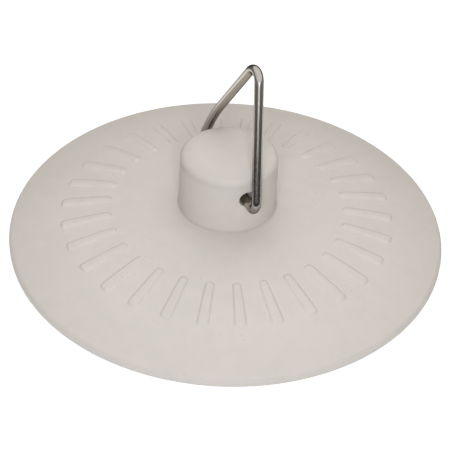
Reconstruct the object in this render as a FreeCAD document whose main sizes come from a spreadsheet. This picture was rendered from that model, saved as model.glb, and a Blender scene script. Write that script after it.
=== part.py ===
import FreeCAD, Part
import math
import os

import Sketcher

# A flat universal drain stopper: a domed rubber disc with a boss, and a wire bail in its cross hole.
# Millimetres and degrees. +Z is up and the origin is the centre of the flat land under the rim.

# Driving dimensions: name, value, meaning
SIZES = (
    ("rim_radius", 55.0, "outside radius of the disc"),
    ("rim_top_round", 1.5, "rounding of the rim's upper edge"),
    ("rim_band", 0.2, "plain band of the rim between its two roundings"),
    ("rim_foot_round", 0.3, "rounding of the rim's lower edge"),
    ("land_width", 3.0, "width of the flat land that seals on the basin"),
    ("dome_rise", 8.85, "height of the disc's top where the boss stands on it"),
    ("cone_radius", 25.0, "radius where the straight cone turns into the dome"),
    ("cone_slope", 4.0, "fall of the cone beside the boss, degrees"),
    ("disc_wall", 2.5, "upright thickness of the disc beside the boss"),
    ("boss_radius", 12.3, "radius of the boss at its foot"),
    ("boss_height", 14.8, "height of the boss above its foot, to the top's edge"),
    ("boss_draft", 1.0, "draft of the boss wall, degrees"),
    ("boss_crown", 0.9, "rise of the boss top from its edge to its middle"),
    ("boss_top_round", 1.5, "rounding of the boss's top edge"),
    ("boss_foot_round", 0.35, "fillet where the boss meets the disc"),
    ("hole_slack", 1.7, "how much wider the cross hole is than the wire"),
    ("hole_cover", 1.8, "wall between the cross hole and the rounding of the boss top"),
    ("hole_mouth_round", 0.35, "rounding of the cross hole's two mouths"),
    ("rib_setback", 4.4, "distance from the end of the cone to the raised ribs"),
    ("rib_length", 12.5, "length of a rib along the disc's radius"),
    ("rib_relief", 0.45, "height of the ribs above the disc"),
    ("rib_sweep", 3.8, "angle that one rib takes up, degrees"),
    ("rib_count", 30, "ribs round the disc"),
    ("wire_diameter", 2.3, "diameter of the bail's wire"),
    ("wire_end_round", 0.35, "rounding of the wire's two ends"),
    ("pin_play", 0.05, "room between a pin and the bottom of the cross hole"),
    ("pin_depth", 7.3, "length of a pin inside the boss"),
    ("elbow_standoff", 4.9, "distance from the boss wall to the corner of an elbow"),
    ("elbow_inside", 0.55, "inside radius of the bend at an elbow"),
    ("apex_rise", 32.2, "height of the apex's corner above the pins"),
    ("apex_inside", 1.95, "inside radius of the bend at the apex"),
    ("bow_inside", 28.85, "inside radius of the slight bow in the back leg"),
    ("bow_span_share", 0.823, "place of that bow across, as a share of the elbow's place"),
    ("bow_rise_share", 0.28, "place of that bow up, as a share of the apex's rise"),
    ("bail_azimuth", 24.0, "angle from the front to the cross hole, degrees"),
    ("bail_lean", 11.8, "angle that the bail leans from upright, degrees"),
)

# How near an edge has to lie to where it is looked for
NEAR = 1e-4

# Formulas that several features share, in the sheet's own names
RIM_THICKNESS = "(Sizes.rim_foot_round + Sizes.rim_band + Sizes.rim_top_round)"
CONE_FALL = "(Sizes.cone_radius - Sizes.boss_radius) * tan(Sizes.cone_slope)"
CONE_END_RISE = f"(Sizes.dome_rise - {CONE_FALL})"
DOME_RUN = "(Sizes.rim_radius - Sizes.cone_radius)"
DOME_FALL = f"({CONE_END_RISE} - {RIM_THICKNESS})"
DOME_BEND = (
    f"(({DOME_RUN}^2 + {DOME_FALL}^2)"
    f" / (2 * ({DOME_FALL} * cos(Sizes.cone_slope) - {DOME_RUN} * sin(Sizes.cone_slope))))"
)
DOME_CENTRE_RADIUS = f"(Sizes.cone_radius - {DOME_BEND} * sin(Sizes.cone_slope))"
DOME_CENTRE_RISE = f"({CONE_END_RISE} - {DOME_BEND} * cos(Sizes.cone_slope))"
BOSS_TOP = "(Sizes.dome_rise + Sizes.boss_height)"
BOSS_TOP_RADIUS = "(Sizes.boss_radius - Sizes.boss_height * tan(Sizes.boss_draft))"
HOLE_DIAMETER = "(Sizes.wire_diameter + Sizes.hole_slack)"
HOLE_RISE = f"({BOSS_TOP} - Sizes.boss_top_round - Sizes.hole_cover - {HOLE_DIAMETER} / 2)"
PIN_RISE = f"({HOLE_RISE} - Sizes.hole_slack / 2 + Sizes.pin_play)"
PIN_INNER_END = "(Sizes.boss_radius - Sizes.pin_depth)"
ELBOW_SPAN = "(Sizes.boss_radius + Sizes.elbow_standoff)"
RIB_INNER_RADIUS = "(Sizes.cone_radius + Sizes.rib_setback)"
RIB_OUTER_RADIUS = f"({RIB_INNER_RADIUS} + Sizes.rib_length)"
RIB_DEPTH = "(Sizes.rib_relief + Sizes.disc_wall / 2)"


def make_sheet(doc):
    """Write the driving dimensions into a spreadsheet, one alias to a row."""
    sheet = doc.addObject("Spreadsheet::Sheet", "Sizes")
    for row, (name, value, meaning) in enumerate(SIZES, start=1):
        sheet.set(f"A{row}", str(value))
        sheet.setAlias(f"A{row}", name)
        sheet.set(f"B{row}", meaning)
    doc.recompute()
    return sheet


def origin_plane(body, role):
    """Return one of a body's own origin planes."""
    return next(plane for plane in body.Origin.OriginFeatures if plane.Role == role)


def add_sketch(body, name, role):
    """Add a sketch on one of the body's origin planes."""
    sketch = body.newObject("Sketcher::SketchObject", name)
    sketch.AttachmentSupport = (origin_plane(body, role), [""])
    sketch.MapMode = "FlatFace"
    return sketch


def worked_out(item, formula):
    """Return what a formula of the sheet gives now."""
    result = item.evalExpression(formula)
    return float(getattr(result, "Value", result))


def drive(sketch, kind, *elements, formula, name):
    """Add a dimension to a sketch and bind it to a formula of the sheet."""
    index = sketch.addConstraint(Sketcher.Constraint(kind, *elements, worked_out(sketch, formula)))
    sketch.renameConstraint(index, name)
    sketch.setExpression(f"Constraints.{name}", formula)


def on_upright(sketch, geometry, point):
    """Hold a point on the sketch's upright axis."""
    sketch.addConstraint(Sketcher.Constraint("PointOnObject", geometry, point, -2))


def on_level(sketch, geometry, point):
    """Hold a point on the sketch's level axis."""
    sketch.addConstraint(Sketcher.Constraint("PointOnObject", geometry, point, -1))


def place(sketch, geometry, point, across, up, name):
    """Place a point of a sketch by formulas, where None means on the axis."""
    if across is None:
        on_upright(sketch, geometry, point)
    else:
        drive(sketch, "DistanceX", -1, 1, geometry, point, formula=across, name=f"{name}_across")
    if up is None:
        on_level(sketch, geometry, point)
    else:
        drive(sketch, "DistanceY", -1, 1, geometry, point, formula=up, name=f"{name}_up")


def spot(sketch, across, up):
    """Return the point where two formulas put it, where None means on the axis."""
    x = 0.0 if across is None else worked_out(sketch, across)
    y = 0.0 if up is None else worked_out(sketch, up)
    return FreeCAD.Vector(x, y, 0)


def add_line(sketch, start, end):
    """Add a straight line to a sketch."""
    return sketch.addGeometry(Part.LineSegment(start, end), False)


def add_arc(sketch, centre, start, end):
    """Add the arc that runs anticlockwise from start to end."""
    circle = Part.Circle(centre, FreeCAD.Vector(0, 0, 1), (start - centre).Length)
    first = math.atan2(start.y - centre.y, start.x - centre.x)
    last = math.atan2(end.y - centre.y, end.x - centre.x)
    return sketch.addGeometry(Part.ArcOfCircle(circle, first, last), False)


def tangent_centre(corner, heading, end):
    """Return the centre of the arc that leaves corner along heading and passes through end."""
    normal = FreeCAD.Vector(heading.y, -heading.x, 0)
    chord = end - corner
    radius = chord.Length ** 2 / (2 * chord.dot(normal))
    return corner + normal * radius


def join(sketch, first, first_point, second, second_point):
    """Join the ends of two lines or arcs."""
    sketch.addConstraint(Sketcher.Constraint("Coincident", first, first_point, second, second_point))


def join_smoothly(sketch, first, first_point, second, second_point):
    """Join the ends of a line and an arc without a corner."""
    sketch.addConstraint(Sketcher.Constraint("Tangent", first, first_point, second, second_point))


def body_section(body):
    """Draw half the section of the moulding: disc, rim and boss."""
    sketch = add_sketch(body, "body_section", "XZ_Plane")
    under = "(Sizes.dome_rise - Sizes.disc_wall)"
    # Corners of the section, from the axis under the disc out to the rim and back over the top
    corners = {
        "under_middle": (None, under),
        "under_boss": ("Sizes.boss_radius", under),
        "under_cone_end": ("Sizes.cone_radius", f"{CONE_END_RISE} - Sizes.disc_wall"),
        "land_inner": ("Sizes.rim_radius - Sizes.land_width", None),
        "rim_foot": ("Sizes.rim_radius", None),
        "rim_top": ("Sizes.rim_radius", RIM_THICKNESS),
        "cone_end": ("Sizes.cone_radius", CONE_END_RISE),
        "boss_foot": ("Sizes.boss_radius", "Sizes.dome_rise"),
        "boss_edge": (BOSS_TOP_RADIUS, BOSS_TOP),
        "boss_middle": (None, f"{BOSS_TOP} + Sizes.boss_crown"),
    }
    at = {name: spot(sketch, *formulas) for name, formulas in corners.items()}
    down_cone = (at["cone_end"] - at["boss_foot"]).normalize()

    under_flat = add_line(sketch, at["under_middle"], at["under_boss"])
    under_cone = add_line(sketch, at["under_boss"], at["under_cone_end"])
    under_centre = tangent_centre(at["under_cone_end"], down_cone, at["land_inner"])
    under_dome = add_arc(sketch, under_centre, at["land_inner"], at["under_cone_end"])
    land = add_line(sketch, at["land_inner"], at["rim_foot"])
    rim_wall = add_line(sketch, at["rim_foot"], at["rim_top"])
    dome_centre = tangent_centre(at["cone_end"], down_cone, at["rim_top"])
    dome = add_arc(sketch, dome_centre, at["rim_top"], at["cone_end"])
    cone = add_line(sketch, at["cone_end"], at["boss_foot"])
    boss_wall = add_line(sketch, at["boss_foot"], at["boss_edge"])
    level = FreeCAD.Vector(1, 0, 0)
    crown_centre = tangent_centre(at["boss_middle"], level, at["boss_edge"])
    crown = add_arc(sketch, crown_centre, at["boss_edge"], at["boss_middle"])
    axis = add_line(sketch, at["boss_middle"], at["under_middle"])

    join(sketch, under_flat, 2, under_cone, 1)
    join_smoothly(sketch, under_cone, 2, under_dome, 2)
    join(sketch, under_dome, 1, land, 1)
    join(sketch, land, 2, rim_wall, 1)
    join(sketch, rim_wall, 2, dome, 1)
    join_smoothly(sketch, dome, 2, cone, 1)
    join(sketch, cone, 2, boss_wall, 1)
    join(sketch, boss_wall, 2, crown, 1)
    join(sketch, crown, 2, axis, 1)
    join(sketch, axis, 2, under_flat, 1)
    on_upright(sketch, crown, 3)
    ends = {
        "under_middle": (under_flat, 1),
        "under_boss": (under_flat, 2),
        "under_cone_end": (under_cone, 2),
        "land_inner": (land, 1),
        "rim_foot": (land, 2),
        "rim_top": (rim_wall, 2),
        "cone_end": (cone, 1),
        "boss_foot": (cone, 2),
        "boss_edge": (boss_wall, 2),
        "boss_middle": (crown, 2),
    }
    for name, (geometry, point) in ends.items():
        place(sketch, geometry, point, *corners[name], name)
    return sketch


def round_edges(doc, body, name, picks, size_name):
    """Round the edges of the body's tip that picks accepts."""
    base = body.Tip
    edges = [f"Edge{i}" for i, edge in enumerate(base.Shape.Edges, start=1) if picks(edge)]
    if not edges:
        raise RuntimeError(f"{name} found no edge to round")
    fillet = body.newObject("PartDesign::Fillet", name)
    fillet.Base = (base, edges)
    fillet.setExpression("Radius", f"Sizes.{size_name}")
    doc.recompute()


def ring_at(body, radius, rise):
    """Return a test for the round edge about the Z axis where two formulas put it."""
    wanted_radius = worked_out(body, radius)
    wanted_rise = worked_out(body, rise)

    def picks(edge):
        box = edge.BoundBox
        level = box.ZLength < NEAR and abs(box.ZMin - wanted_rise) < NEAR
        return level and abs(box.XMax - wanted_radius) < NEAR

    return picks


def cut_cross_hole(doc, body):
    """Cut the hole for the wire right through the boss and round its two mouths."""
    before = body.Tip.Shape.Volume
    sketch = add_sketch(body, "hole_outline", "XZ_Plane")
    turn = "rotation(vector(0; 1; 0); Sizes.bail_azimuth)"
    sketch.setExpression("AttachmentOffset", f"placement(vector(0; 0; 0); {turn})")
    radius = worked_out(sketch, f"{HOLE_DIAMETER} / 2")
    circle = Part.Circle(spot(sketch, None, HOLE_RISE), FreeCAD.Vector(0, 0, 1), radius)
    outline = sketch.addGeometry(circle, False)
    place(sketch, outline, 3, None, HOLE_RISE, "hole_centre")
    drive(sketch, "Diameter", outline, formula=HOLE_DIAMETER, name="hole_diameter")
    hole = body.newObject("PartDesign::Pocket", "cross_hole")
    hole.Profile = sketch
    hole.Type = "ThroughAll"
    hole.Midplane = True
    doc.recompute()
    if hole.Shape.Volume >= before:
        raise RuntimeError("the cross hole cut nothing")

    mouth_round = worked_out(body, "Sizes.hole_mouth_round")

    def mouth(edge):
        """Pick the closed edge where the hole leaves the boss, which is as tall as the hole."""
        return edge.Closed and abs(edge.BoundBox.ZLength / 2 - radius) < mouth_round

    round_edges(doc, body, "hole_mouths", mouth, "hole_mouth_round")


def rib_section(body):
    """Draw the section of one raised rib, whose top follows the dome and whose root is in its wall."""
    sketch = add_sketch(body, "rib_section", "XZ_Plane")
    centre = spot(sketch, DOME_CENTRE_RADIUS, DOME_CENTRE_RISE)
    top_bend = f"({DOME_BEND} + Sizes.rib_relief)"
    radius = worked_out(sketch, top_bend)
    sunk = FreeCAD.Vector(0, worked_out(sketch, RIB_DEPTH), 0)

    def on_top(formula):
        """Return the point of the rib's top at this distance from the disc's axis."""
        across = worked_out(sketch, formula)
        return FreeCAD.Vector(across, centre.y + math.sqrt(radius ** 2 - (across - centre.x) ** 2), 0)

    outer = on_top(RIB_OUTER_RADIUS)
    inner = on_top(RIB_INNER_RADIUS)
    top = add_arc(sketch, centre, outer, inner)
    inner_end = add_line(sketch, inner, inner - sunk)
    root = add_line(sketch, inner - sunk, outer - sunk)
    outer_end = add_line(sketch, outer - sunk, outer)
    join(sketch, top, 2, inner_end, 1)
    join(sketch, inner_end, 2, root, 1)
    join(sketch, root, 2, outer_end, 1)
    join(sketch, outer_end, 2, top, 1)
    sketch.addConstraint(Sketcher.Constraint("Vertical", inner_end))
    sketch.addConstraint(Sketcher.Constraint("Vertical", outer_end))
    place(sketch, top, 3, DOME_CENTRE_RADIUS, DOME_CENTRE_RISE, "dome_centre")
    drive(sketch, "Radius", top, formula=top_bend, name="top_bend")
    drive(sketch, "DistanceX", -1, 1, top, 1, formula=RIB_OUTER_RADIUS, name="outer_radius")
    drive(sketch, "DistanceX", -1, 1, top, 2, formula=RIB_INNER_RADIUS, name="inner_radius")
    drive(sketch, "DistanceY", inner_end, 2, inner_end, 1, formula=RIB_DEPTH, name="inner_depth")
    drive(sketch, "DistanceY", outer_end, 1, outer_end, 2, formula=RIB_DEPTH, name="outer_depth")
    return sketch


def raise_ribs(doc, body):
    """Raise a ring of plain ribs on the disc."""
    before = body.Tip.Shape.Volume
    rib = body.newObject("PartDesign::Revolution", "rib")
    rib.Profile = rib_section(body)
    rib.ReferenceAxis = (rib.Profile[0], ["V_Axis"])
    rib.Midplane = True
    rib.setExpression("Angle", "Sizes.rib_sweep")
    doc.recompute()
    ribs = body.newObject("PartDesign::PolarPattern", "ribs")
    ribs.Originals = [rib]
    ribs.Axis = (rib.Profile[0], ["V_Axis"])
    ribs.Angle = 360
    ribs.setExpression("Occurrences", "Sizes.rib_count")
    body.Tip = ribs
    doc.recompute()
    if ribs.Shape.Volume <= before:
        raise RuntimeError("the ribs added nothing")


def make_stopper(doc):
    """Build the rubber moulding as one body."""
    body = doc.addObject("PartDesign::Body", "rubber_stopper")
    body.Label = "rubber_stopper"
    moulding = body.newObject("PartDesign::Revolution", "moulding")
    moulding.Profile = body_section(body)
    moulding.ReferenceAxis = (moulding.Profile[0], ["V_Axis"])
    moulding.Angle = 360
    doc.recompute()
    cut_cross_hole(doc, body)
    # The round edges of the moulding: name, radius and height of the edge, size of its rounding
    rings = (
        ("boss_top_edge", BOSS_TOP_RADIUS, BOSS_TOP, "boss_top_round"),
        ("boss_foot_corner", "Sizes.boss_radius", "Sizes.dome_rise", "boss_foot_round"),
        ("rim_top_edge", "Sizes.rim_radius", RIM_THICKNESS, "rim_top_round"),
        ("rim_foot_edge", "Sizes.rim_radius", "0", "rim_foot_round"),
    )
    for name, radius, rise, size_name in rings:
        round_edges(doc, body, name, ring_at(body, radius, rise), size_name)
    raise_ribs(doc, body)
    return body


def bail_path(body):
    """Draw the wire's middle line: pin, elbow, front leg, apex, bowed back leg, elbow, pin."""
    sketch = add_sketch(body, "bail_path", "XZ_Plane")
    half_wire = "Sizes.wire_diameter / 2"
    elbow_bend = f"{half_wire} + Sizes.elbow_inside"
    bow_across = f"-{ELBOW_SPAN} * Sizes.bow_span_share"
    # Corners of the bail before they are bent round: name, place across and up, bend radius
    corners = (
        ("front_elbow", ELBOW_SPAN, None, elbow_bend),
        ("apex", None, "Sizes.apex_rise", f"{half_wire} + Sizes.apex_inside"),
        ("bow", bow_across, "Sizes.apex_rise * Sizes.bow_rise_share", f"{half_wire} + Sizes.bow_inside"),
        ("back_elbow", f"-{ELBOW_SPAN}", None, elbow_bend),
    )
    start = spot(sketch, PIN_INNER_END, None)
    end = spot(sketch, f"-{PIN_INNER_END}", None)
    at = [start] + [spot(sketch, across, up) for _, across, up, _ in corners] + [end]

    # A bend leaves its corner by the same length along both of its runs
    bends = []
    for index, (_, _, _, bend) in enumerate(corners, start=1):
        back = (at[index - 1] - at[index]).normalize()
        ahead = (at[index + 1] - at[index]).normalize()
        radius = worked_out(sketch, bend)
        half_angle = back.getAngle(ahead) / 2
        trim = radius / math.tan(half_angle)
        centre = at[index] + (back + ahead).normalize() * (radius / math.sin(half_angle))
        bends.append((centre, at[index] + back * trim, at[index] + ahead * trim))

    run_starts = [start] + [bend_end for _, _, bend_end in bends]
    run_ends = [bend_start for _, bend_start, _ in bends] + [end]
    runs = [add_line(sketch, *ends) for ends in zip(run_starts, run_ends)]
    arcs = [add_arc(sketch, *bend) for bend in bends]

    for index, (arc, (name, across, up, bend)) in enumerate(zip(arcs, corners)):
        join_smoothly(sketch, runs[index], 2, arc, 1)
        join_smoothly(sketch, arc, 2, runs[index + 1], 1)
        drive(sketch, "Radius", arc, formula=bend, name=f"{name}_bend")
        corner = sketch.addGeometry(Part.Point(at[index + 1]), True)
        place(sketch, corner, 1, across, up, name)
        for leg in {runs[index], runs[index + 1]} & set(runs[1:-1]):
            sketch.addConstraint(Sketcher.Constraint("PointOnObject", corner, 1, leg))
    place(sketch, runs[0], 1, PIN_INNER_END, None, "front_pin_end")
    place(sketch, runs[-1], 2, f"-{PIN_INNER_END}", None, "back_pin_end")
    for pin in (runs[0], runs[-1]):
        sketch.addConstraint(Sketcher.Constraint("Horizontal", pin))
    return sketch


def make_bail(doc):
    """Build the bent wire as one body, upright about its own pins, then lean it in the boss."""
    body = doc.addObject("PartDesign::Body", "wire_bail")
    body.Label = "wire_bail"
    path = bail_path(body)
    section = add_sketch(body, "wire_section", "YZ_Plane")
    section.setExpression("AttachmentOffset.Base.z", PIN_INNER_END)
    radius = worked_out(section, "Sizes.wire_diameter / 2")
    middle = FreeCAD.Vector(0, 0, 0)
    outline = section.addGeometry(Part.Circle(middle, FreeCAD.Vector(0, 0, 1), radius), False)
    join(section, outline, 3, -1, 1)
    drive(section, "Diameter", outline, formula="Sizes.wire_diameter", name="wire_diameter")
    doc.recompute()
    wire = body.newObject("PartDesign::AdditivePipe", "wire")
    wire.Profile = section
    wire.Spine = (path, [])
    doc.recompute()
    swept = math.pi * radius ** 2 * path.Shape.Length
    print("wire length", round(path.Shape.Length, 2), "volume share", round(wire.Shape.Volume / swept, 5))

    def wire_end(edge):
        """Pick the round edge of each of the wire's two ends."""
        box = edge.BoundBox
        flat = edge.Closed and box.XLength < NEAR
        return flat and abs(abs(box.XMin) - worked_out(body, PIN_INNER_END)) < NEAR

    round_edges(doc, body, "wire_ends", wire_end, "wire_end_round")
    turn = "rotation(vector(0; 0; 1); Sizes.bail_azimuth - 90)"
    lean = "rotation(vector(1; 0; 0); -Sizes.bail_lean)"
    body.setExpression("Placement", f"placement(vector(0; 0; {PIN_RISE}); {turn} * {lean})")
    doc.recompute()
    return body


def check(doc, bodies):
    """Stop if any object failed or any sub-part is not one valid solid."""
    for item in doc.Objects:
        if "Invalid" in item.State or "Error" in item.State:
            raise RuntimeError(f"{item.Name} failed: {item.State}")
        if item.isDerivedFrom("Sketcher::SketchObject") and item.solve() != 0:
            raise RuntimeError(f"{item.Name} has constraints that don't agree")
    for body in bodies:
        shape = body.Shape
        if shape.isNull() or not shape.isValid():
            raise RuntimeError(f"{body.Label} has no valid shape")
        if len(shape.Solids) != 1:
            raise RuntimeError(f"{body.Label} has {len(shape.Solids)} solids")
        print(body.Label, "volume", round(shape.Volume, 1), "box", shape.optimalBoundingBox(True, False))


def main():
    """Build the document, check it and write one file to a sub-part."""
    doc = FreeCAD.newDocument("drain_stopper")
    sheet = make_sheet(doc)
    bodies = (make_stopper(doc), make_bail(doc))
    check(doc, bodies)
    print("pin height", round(worked_out(sheet, PIN_RISE), 3))
    os.makedirs("parts", exist_ok=True)
    for body in bodies:
        body.Shape.exportStep(f"parts/{body.Label}.step")


main()
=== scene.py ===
"""Dress a flat drain stopper: a domed rubber disc with a boss, and a wire bail in its cross hole."""

import logging
import math
from dataclasses import dataclass
from enum import Enum
from typing import Any, Iterable, Mapping, Sequence, Union

import bpy
import numpy as np
from mathutils import Matrix, Vector, noise

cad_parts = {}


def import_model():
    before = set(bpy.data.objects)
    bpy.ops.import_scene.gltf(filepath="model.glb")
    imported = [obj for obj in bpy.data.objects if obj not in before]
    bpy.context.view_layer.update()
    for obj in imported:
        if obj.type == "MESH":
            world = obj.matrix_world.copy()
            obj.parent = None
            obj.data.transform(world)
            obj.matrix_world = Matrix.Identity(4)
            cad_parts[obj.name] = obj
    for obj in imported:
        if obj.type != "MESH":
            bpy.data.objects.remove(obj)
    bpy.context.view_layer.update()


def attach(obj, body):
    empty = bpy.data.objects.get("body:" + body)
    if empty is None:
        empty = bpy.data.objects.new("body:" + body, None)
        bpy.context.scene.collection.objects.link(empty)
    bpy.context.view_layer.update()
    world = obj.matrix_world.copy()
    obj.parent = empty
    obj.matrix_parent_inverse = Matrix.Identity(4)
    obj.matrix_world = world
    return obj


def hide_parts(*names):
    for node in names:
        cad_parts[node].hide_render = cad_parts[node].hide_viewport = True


LOG = logging.getLogger("drain_stopper")

MM = 0.001
CLOUD_ROUGHNESS = 0.55
UP = Vector((0.0, 0.0, 1.0))

Colour = tuple[float, float, float]
Way = tuple[float, float, float]
Span = tuple[float, float]
Spot = tuple[float, float]
Face = tuple[int, ...]
WireRing = tuple[np.ndarray, np.ndarray, float, float]
Feed = Union["Value", bpy.types.NodeSocket, float, Sequence[float]]


def mm(*lengths: float) -> tuple[float, ...]:
    """Return lengths in millimetres as metres."""
    return tuple(length * MM for length in lengths)


class Node(Enum):
    """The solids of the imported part."""

    STOPPER = "rubber_stopper"
    BAIL = "wire_bail"


class Body(Enum):
    """The bodies that move against each other."""

    STOPPER = "stopper"
    BAIL = "bail"


class Slot(Enum):
    """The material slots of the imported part."""

    RUBBER = "rubber"
    WIRE = "wire"


class Density(Enum):
    """How many points a ring of the moulding has between one rib and the next."""

    RIBBED = 18
    PLAIN = 6
    SPARSE = 2
    POLE = 2 / 3


class Side(Enum):
    """The two ends of the cross hole, as the sign of the way out along it."""

    FRONT = 1
    BACK = -1


class Value:
    """A number in a node graph, whose operators add Math nodes."""

    def __init__(self, graph: "Graph", socket: bpy.types.NodeSocket) -> None:
        """Hold an output socket and the graph it belongs to."""
        self.graph = graph
        self.socket = socket

    def _with(self, operation: str, first: Feed, second: Feed) -> "Value":
        """Return the result of one Math node."""
        made = self.graph.add("ShaderNodeMath", {"operation": operation}, {0: first, 1: second})
        return Value(self.graph, made.outputs[0])

    def __add__(self, other: Feed) -> "Value":
        """Return the sum."""
        return self._with("ADD", self, other)

    def __sub__(self, other: Feed) -> "Value":
        """Return the difference."""
        return self._with("SUBTRACT", self, other)

    def __rsub__(self, other: Feed) -> "Value":
        """Return the difference from a plain number."""
        return self._with("SUBTRACT", other, self)

    def __mul__(self, other: Feed) -> "Value":
        """Return the product."""
        return self._with("MULTIPLY", self, other)

    __radd__ = __add__
    __rmul__ = __mul__

    def __abs__(self) -> "Value":
        """Return the number without its sign."""
        return self._with("ABSOLUTE", self, 0.0)

    def most(self, other: Feed) -> "Value":
        """Return the larger of two numbers."""
        return self._with("MAXIMUM", self, other)

    def rises(self, low: float, high: float) -> "Value":
        """Return 0 below low, 1 above high and a smooth step between; low may be the larger.

        Args:
            low: The number that gives 0.
            high: The number that gives 1.

        Returns:
            A number from 0 to 1.
        """
        inputs = {0: self, 1: min(low, high), 2: max(low, high)}
        made = self.graph.add("ShaderNodeMapRange", {"interpolation_type": "SMOOTHSTEP"}, inputs)
        step = Value(self.graph, made.outputs[0])
        return step if low < high else 1.0 - step


class Graph:
    """The node tree of one material or of the world."""

    def __init__(self, tree: bpy.types.NodeTree) -> None:
        """Empty a tree and hold it, to fill it anew."""
        self.tree = tree
        tree.nodes.clear()

    def add(
        self,
        kind: str,
        settings: Mapping[str, Any] | None = None,
        inputs: Mapping[str | int, Feed] | None = None,
    ) -> bpy.types.Node:
        """Add one node.

        Args:
            kind: The node's type.
            settings: Its own settings, which are set first.
            inputs: Values or links for its sockets, by name or place.

        Returns:
            The node.
        """
        node = self.tree.nodes.new(kind)
        for name, setting in (settings or {}).items():
            setattr(node, name, setting)
        for key, feed in (inputs or {}).items():
            given = feed.socket if isinstance(feed, Value) else feed
            if isinstance(given, bpy.types.NodeSocket):
                self.tree.links.new(given, node.inputs[key])
            else:
                node.inputs[key].default_value = given
        return node

    def number(self, socket: bpy.types.NodeSocket) -> Value:
        """Wrap an output socket that carries a number."""
        return Value(self, socket)

    def blend(self, share: Feed, first: Feed, second: Feed) -> bpy.types.NodeSocket:
        """Mix two colours.

        Args:
            share: 0 for the first colour, 1 for the second.
            first: A colour or a colour socket.
            second: A colour or a colour socket.

        Returns:
            The mixed colour.
        """
        settings = {"data_type": "RGBA"}
        sides = [(*feed, 1.0) if isinstance(feed, tuple) else feed for feed in (first, second)]
        made = self.add("ShaderNodeMix", settings, {0: share, 6: sides[0], 7: sides[1]})
        return made.outputs[2]

    def vector(
        self,
        operation: str,
        first: Feed,
        second: Feed = (0.0, 0.0, 0.0),
        output: str = "Vector",
    ) -> bpy.types.NodeSocket:
        """Return the result of one Vector Math node, whose output is "Value" where that is a number."""
        made = self.add("ShaderNodeVectorMath", {"operation": operation}, {0: first, 1: second})
        return made.outputs[output]

    def dot(self, vector: Feed, way: Sequence[float]) -> Value:
        """Return how far a vector reaches along a direction."""
        return self.number(self.vector("DOT_PRODUCT", vector, tuple(way), "Value"))

    def length(self, vector: Feed) -> Value:
        """Return the length of a vector."""
        return self.number(self.vector("LENGTH", vector, output="Value"))

    def cloud(self, point: Feed, size: float, detail: float = 2.0) -> Value:
        """Return a soft noise from about 0 to 1.

        Args:
            point: Where it is read.
            size: The size of its features, in the units of point.
            detail: How many finer layers it has.

        Returns:
            The noise.
        """
        inputs = {"Vector": point, "Scale": 1.0 / size, "Detail": detail, "Roughness": CLOUD_ROUGHNESS}
        made = self.add("ShaderNodeTexNoise", {"noise_dimensions": "3D"}, inputs)
        return self.number(made.outputs[0])

    def bump(self, height: Value, strength: float, depth: float) -> bpy.types.NodeSocket:
        """Return the normal of a surface on which a height of 1 stands as far out as depth."""
        inputs = {"Strength": strength, "Distance": depth, "Height": height}
        return self.add("ShaderNodeBump", None, inputs).outputs[0]

    def finish(self, inputs: Mapping[str, Feed]) -> None:
        """Give the material a Principled shader with these inputs."""
        shader = self.add("ShaderNodeBsdfPrincipled", None, inputs)
        self.add("ShaderNodeOutputMaterial", None, {"Surface": shader.outputs[0]})


def new_material(name: str) -> tuple[bpy.types.Material, Graph]:
    """Make a material with an empty graph.

    Args:
        name: The material's name.

    Returns:
        The material and its graph.
    """
    material = bpy.data.materials.new(name)
    material.use_nodes = True
    return material, Graph(material.node_tree)


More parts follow.
